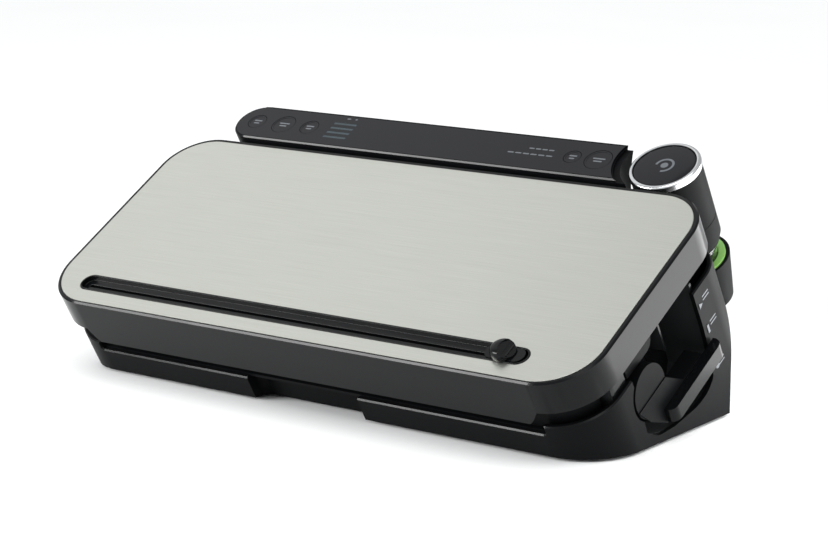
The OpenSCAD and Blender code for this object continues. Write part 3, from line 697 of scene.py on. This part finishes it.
pick(shell, "EDGE", base_rim)
bpy.ops.mesh.bevel(offset=0.9 * MM, segments=1, affect="EDGES")
polish(shell, lambda f: 0.3 < f.normal.z < 0.85 and f.calc_center_median().z > -46.5 * MM,
       satin_abs, polished_abs)
settle(shell, "base", "black_abs", satin_abs, "base_shell")

# Latch: the recess with its deep rear end and a rib, then the drum with its web and handle.
WELL_TOP = -33.6
WELL_INNER = [(-60, WELL_TOP), (-60, -70), (-48.6, -81.6), (-20, -100.3), (12, -110), (28, -110),
              (37, -100), (40, -66), (40, WELL_TOP)]
WELL_OUTER = [(-62, WELL_TOP), (-62, -70.5), (-50, -83.8), (-21, -102.3), (11.6, -112.2),
              (29, -112.2), (39, -100.8), (42.2, -66), (42.2, WELL_TOP)]


def well_hollow(name, x):
    """The inside of the recess, reaching up past its open top."""
    return side_plate(name, [(v, w + (1 if w == WELL_TOP else 0)) for v, w in WELL_INNER], x)


well = side_plate("latch_recess", WELL_OUTER, (192, 214.4))
cut(well, well_hollow("tool", (194.5, 216)))
deep = side_plate("deep", WELL_OUTER, (180, 193.5))
keep(deep, block("tool", (0, 250), (-1.2, 60), (-130, 0)))
weld(well, deep)
hollow = well_hollow("hollow", (182.5, 195.5))
keep(hollow, block("tool", (0, 250), (1, 60), (-130, 10)))
cut(well, hollow)
weld(well, block("tool", (181, 203), (12, 13.6), (-66, -34)),
     block("tool2", (211.5, 213.9), (-62, -46), (-45, -31)))
cut(well, axle("tool", (187, 202), HUB_V, HUB_W, 3, 32))
keep(well, base_blank("tool", WALL + 0.05, 0))
soften(well, 0.5, 2)
polish(well, lambda f: f.normal.x > 0.9, matt_abs, polished_abs)
settle(well, "base", "black_abs", matt_abs, "latch_well")

HANDLE_W = (-89, -79)
lever = axle("latch_handle", (205.2, 217.4), HUB_V, HUB_W, 17.5, 96)
web = side_plate("web", [(-48, -62), (-14, -62), (2, -78), (27, -78), (27, -90), (-25, -90),
                         (-40, -76)], (205.2, 218.1))
bar = block("bar", (218, 225.5), (-25, 43), HANDLE_W)
pick(bar, "EDGE", lambda e: upright(e) and middle(e).x > 220 and middle(e).y < 0)
bpy.ops.mesh.bevel(offset=5.5 * MM, segments=8, affect="EDGES")
pick(bar, "EDGE", lambda e: upright(e) and middle(e).x > 220 and middle(e).y > 42)
bpy.ops.mesh.bevel(offset=7 * MM, segments=10, affect="EDGES")
weld(lever, web, block("tool", (205.2, 218.1), (14, 27), (-90, -78)), alone(bar))
cut(lever, axle("tool", (200, 216.2), HUB_V, HUB_W, 3.05, 32))
soften(lever, 0.8, 3)
polish(lever, lambda f: f.calc_center_median().x > 218.5 * MM, satin_abs, polished_abs)
settle(lever, "latch", "black_abs", satin_abs, "latch_lever")


# ---- Control panel ---------------------------------------------------------------

PANEL_FRONT, PANEL_DEPTH, PANEL_LEFT, PANEL_TOP = 88.4, 35.5, -184.8, 3
HAND_X, HAND_V = 167, 113
BUTTON_V = 106.2
BUTTONS = {"power": (-167.5, 7), "mode": (-143, 9), "food": (-119.5, 7), "hold": (102, 6),
           "seal": (122, 9.5)}


def panel_blank(name, inset, w):
    """The outline of the control panel: round at the left, hollowed round the hand-held."""
    r = PANEL_DEPTH / 2 - inset
    x1 = PANEL_LEFT + inset + r + 345
    blank = block(name, (PANEL_LEFT + inset, x1),
                  (PANEL_FRONT + inset, PANEL_FRONT + PANEL_DEPTH - inset), w)
    pick(blank, "EDGE", lambda e: upright(e) and middle(e).x < 0)
    bpy.ops.mesh.bevel(offset=(r - 0.02) * MM, segments=20, affect="EDGES")
    alone(blank)
    cut(blank, disc("tool", HAND_X, HAND_V, (w[0] - 5, w[1] + 5), 29 + inset, 128),
        block("tool", (HAND_X - 12, HAND_X + 40), (PANEL_FRONT - 10, PANEL_FRONT + 50),
              (w[0] - 5, w[1] + 5)))
    pick(blank, "EDGE", lambda e: upright(e) and middle(e).x > 100
         and abs(abs(middle(e).y - PANEL_FRONT - PANEL_DEPTH / 2) - r) < 0.01)
    bpy.ops.mesh.bevel(offset=2.5 * MM, segments=6, affect="EDGES")
    return alone(blank)


housing = panel_blank("panel_housing", 0, (-58, PANEL_TOP))
weld(housing, block("tool", (-160, 130), (LID_REAR + 0.05, PANEL_FRONT + 1), (-57, -40)))
keep(housing, untilt(block("tool", (-250, 250), (-150, REAR_WALL / MM + 2.4), (0, 250))))
inside = panel_blank("inside", 2.4, (-52, -2))
keep(inside, untilt(block("tool", (-250, 250), (-150, REAR_WALL / MM), (0, 250))))
step = disc("step", HAND_X, HAND_V, (PANEL_TOP - 2.6, 9), 33.2, 128)
keep(step, block("tool", (HAND_X - 40, HAND_X), (80, 130), (-10, 10)))
cut(housing, inside, panel_blank("tool2", 1.5, (PANEL_TOP - 1.2, 9)), step)
for x, r in BUTTONS.values():
    cut(housing, disc("tool", x, BUTTON_V, (-3, 10), r + 0.35))
cut(housing, block("tool", (-104, -80), (95, 117), (-3.2, 10)))
round_end = at(PANEL_LEFT + PANEL_DEPTH / 2, PANEL_FRONT + PANEL_DEPTH / 2, PANEL_TOP) / MM


def panel_rim(edge):
    """True for the outer edges round the top of the panel."""
    spot = middle(edge)
    away = spot - round_end
    return abs(away.z) < 0.01 and (abs(abs(away.y) - PANEL_DEPTH / 2) < 0.01
                                   or away.x < 0 and away.length > PANEL_DEPTH / 2 - 0.3)


pick(housing, "EDGE", panel_rim)
bpy.ops.mesh.bevel(offset=0.9 * MM, segments=1, affect="EDGES")
polish(housing, lambda f: 0.3 < f.normal.z < 0.9, satin_abs, polished_abs)
settle(housing, "base", "black_abs", satin_abs, "rear_housing")

overlay = panel_blank("panel_window", 1.6, (PANEL_TOP - 1.2, PANEL_TOP))
cut(overlay, disc("tool", HAND_X, HAND_V, (-10, 10), 34.2, 128))
for x, r in BUTTONS.values():
    cut(overlay, disc("tool", x, BUTTON_V, (-10, 10), r + 0.35))
for n in range(4):
    cut(overlay, block("tool", (-102, -82), (97.5 + 5 * n, 99.5 + 5 * n), (0, 10)))
soften(overlay, 0.25, 2)
settle(overlay, "base", "gloss_black", panel_acrylic, "panel_overlay")

for name, (x, r) in BUTTONS.items():
    key = disc("key_" + name, x, BUTTON_V, (-1.9, PANEL_TOP - 0.1), r, 64)
    pick(key, "FACE", lambda f: f.normal.z > 0.9)
    bpy.ops.mesh.inset(thickness=1.2 * MM)
    bpy.ops.mesh.extrude_region_move(TRANSFORM_OT_translate={"value": at(0, 0, -0.25)})
    weld(alone(key), disc("tool", x, BUTTON_V, (-2.5, -1.8), 2, 24))
    soften(key, 0.2, 2)
    settle(key, "key_" + name, "gloss_black", panel_acrylic, "button_" + name)


def printed(name, body, ink, w, *bars):
    """Printed bars: each from its left, front, length and width in millimetres."""
    bars = [slab(name, (x, x + length), (v, v + width), (w, w + 0.08), width / 2 - 0.01,
                 width / 2 - 0.01, 3) for x, v, length, width in bars]
    return settle(joined(bars), body, "mark_grey", ink)


for name, (x, r) in BUTTONS.items():
    reach = 0.5 * r
    printed("print_" + name, "key_" + name, faint_ink, PANEL_TOP - 0.4,
            (x - reach, BUTTON_V + 0.7, 2 * reach, 1.3),
            (x - 0.7 * reach, BUTTON_V - 2, 1.4 * reach, 1.3))
printed("panel_print", "base", faint_ink, PANEL_TOP - 0.02,
        *[(66 + 5.2 * n, 109.5, 4.2, 1.2) for n in range(4)],
        *[(52 + 6.1 * n, 103.5, 5, 1.2) for n in range(6)],
        (-94, 119, 3.2, 1.2), (-87, 119, 2.2, 1.2))

# Two short lines printed beside each of the latch's position marks.
dashes = [side_plate("latch_print", [(v, w), (v + 8, w), (v + 8, w + 0.9), (v, w + 0.9)],
                     (216.95, 217.06), dict.fromkeys(range(4), 0.4), 3)
          for v, w in ((45.5, -50.5), (45.5, -48), (46, -71), (46, -68.5), (42, -102), (42, -99.5))]
settle(joined(dashes), "base", "mark_grey", faint_ink)


# ---- Hand-held sealer and its dock -----------------------------------------------

body = turned("handheld_housing", HAND_X, HAND_V,
              [(21.4, -6.2), (23.6, -6.2), (23.5, -44.8), (23.25, -45), (23.25, -45.5),
               (23.45, -45.7), (23.4, -60), (21, -66), (18.2, -66), (21.1, -58), (21.4, -12),
               (21.4, -6.2)])
soften(body, 0.2, 2, 50)
settle(body, "handheld", "black_abs", satin_abs, "handheld_body")

ring = turned("handheld_trim_ring", HAND_X, HAND_V,
              [(21.4, -6.2), (23.6, -6.2), (24.0, -5.8), (24.1, -5), (24.1, -2.6), (23.8, -1.8),
               (23.1, -1.3), (22.2, -1.1), (21.4, -1.3), (21.4, -6.2)])
settle(ring, "handheld", "silver_ring", satin_chrome, "handheld_ring", smooth=60)

press = turned("handheld_press", HAND_X, HAND_V,
               [(21, -4.6), (21, -2.4), (20.6, -1.9), (19.8, -1.7), (10, -1.45), (2, -1.4)])
settle(press, "hand_press", "gloss_black", panel_acrylic, "handheld_button", smooth=40)

mark = turned("handheld_mark", HAND_X, HAND_V,
              [(5.2, -1.45), (6.8, -1.45), (6.8, -1.3), (5.2, -1.3), (5.2, -1.45)], 48)
cut(mark, block("tool", (HAND_X - 9, HAND_X), (HAND_V - 9, HAND_V), (-5, 5)))
weld(mark, turned("tool", HAND_X, HAND_V, [(2.6, -1.45), (2.6, -1.3)], 32))
settle(mark, "hand_press", "mark_grey", faint_ink)

CUP_TOP, CUP_BOTTOM = -78, -112
cup = turned("dock_cup_moulding", HAND_X, HAND_V, [(20.1, CUP_BOTTOM), (25.4, CUP_TOP)])
rear = REAR_WALL / MM
bracket = drawn("bracket", [at(HAND_X - 15 - 2.75, y, z) for y, z in
                            ((rear, 44), (rear, 82), (rear + 15, 82), (rear + 40, 60),
                             (rear + 30, 44))], at(30, 0, 0))
weld(cup, untilt(bracket))
cut(cup, turned("tool", HAND_X, HAND_V, [(18.2, CUP_BOTTOM + 2.5), (23.4, CUP_TOP + 1)]),
    disc("tool2", HAND_X, HAND_V, (CUP_TOP, 10), 45))
soften(cup, 0.7, 3)
settle(cup, "base", "black_abs", satin_abs, "dock_cup")


# ---- Finishes of the pieces kept from the frame ----------------------------------

kept = {
    satin_abs: ["sealing_deck"],
    matt_abs: ["bottom_cover", "lid_liner", "hinge_brackets", "lid_switch", "tact_switches",
               "mains_inlet", "handheld_base"],
    plated_steel: ["cover_screws", "liner_screws", "hinge_pins", "latch_spindle", "keeper_pin",
                   "latch_hook", "cutter_blade", "heating_strip", "inlet_pins"],
    foot_rubber: ["feet", "suction_tip"],
    foam: ["lower_gasket", "upper_gasket"],
    red_silicone: ["pressure_strip"],
    laminate: ["heater_bar"],
    glass_tape: ["seal_tape"],
    lens_acrylic: ["indicator_lenses"],
    solder_mask: ["control_board", "power_board"],
    winding: ["transformer"],
    filled_nylon: ["vacuum_pump", "handheld_pump"],
    motor_can: ["pump_motor", "handheld_motor"],
    hose_silicone: ["pump_hose", "suction_tube"],
    faint_ink: ["position_marks"],
    contact_gold: ["charge_contacts"],
    shrink_sleeve: ["handheld_battery"],
    clear_copolyester: ["reservoir"],
    green_silicone: ["reservoir_seal"],
    tray_pp: ["drip_tray"],
}
for material, names in kept.items():
    for name in names:
        mesh = frame["nodes"][name].data
        mesh.materials.clear()
        mesh.materials.append(material)
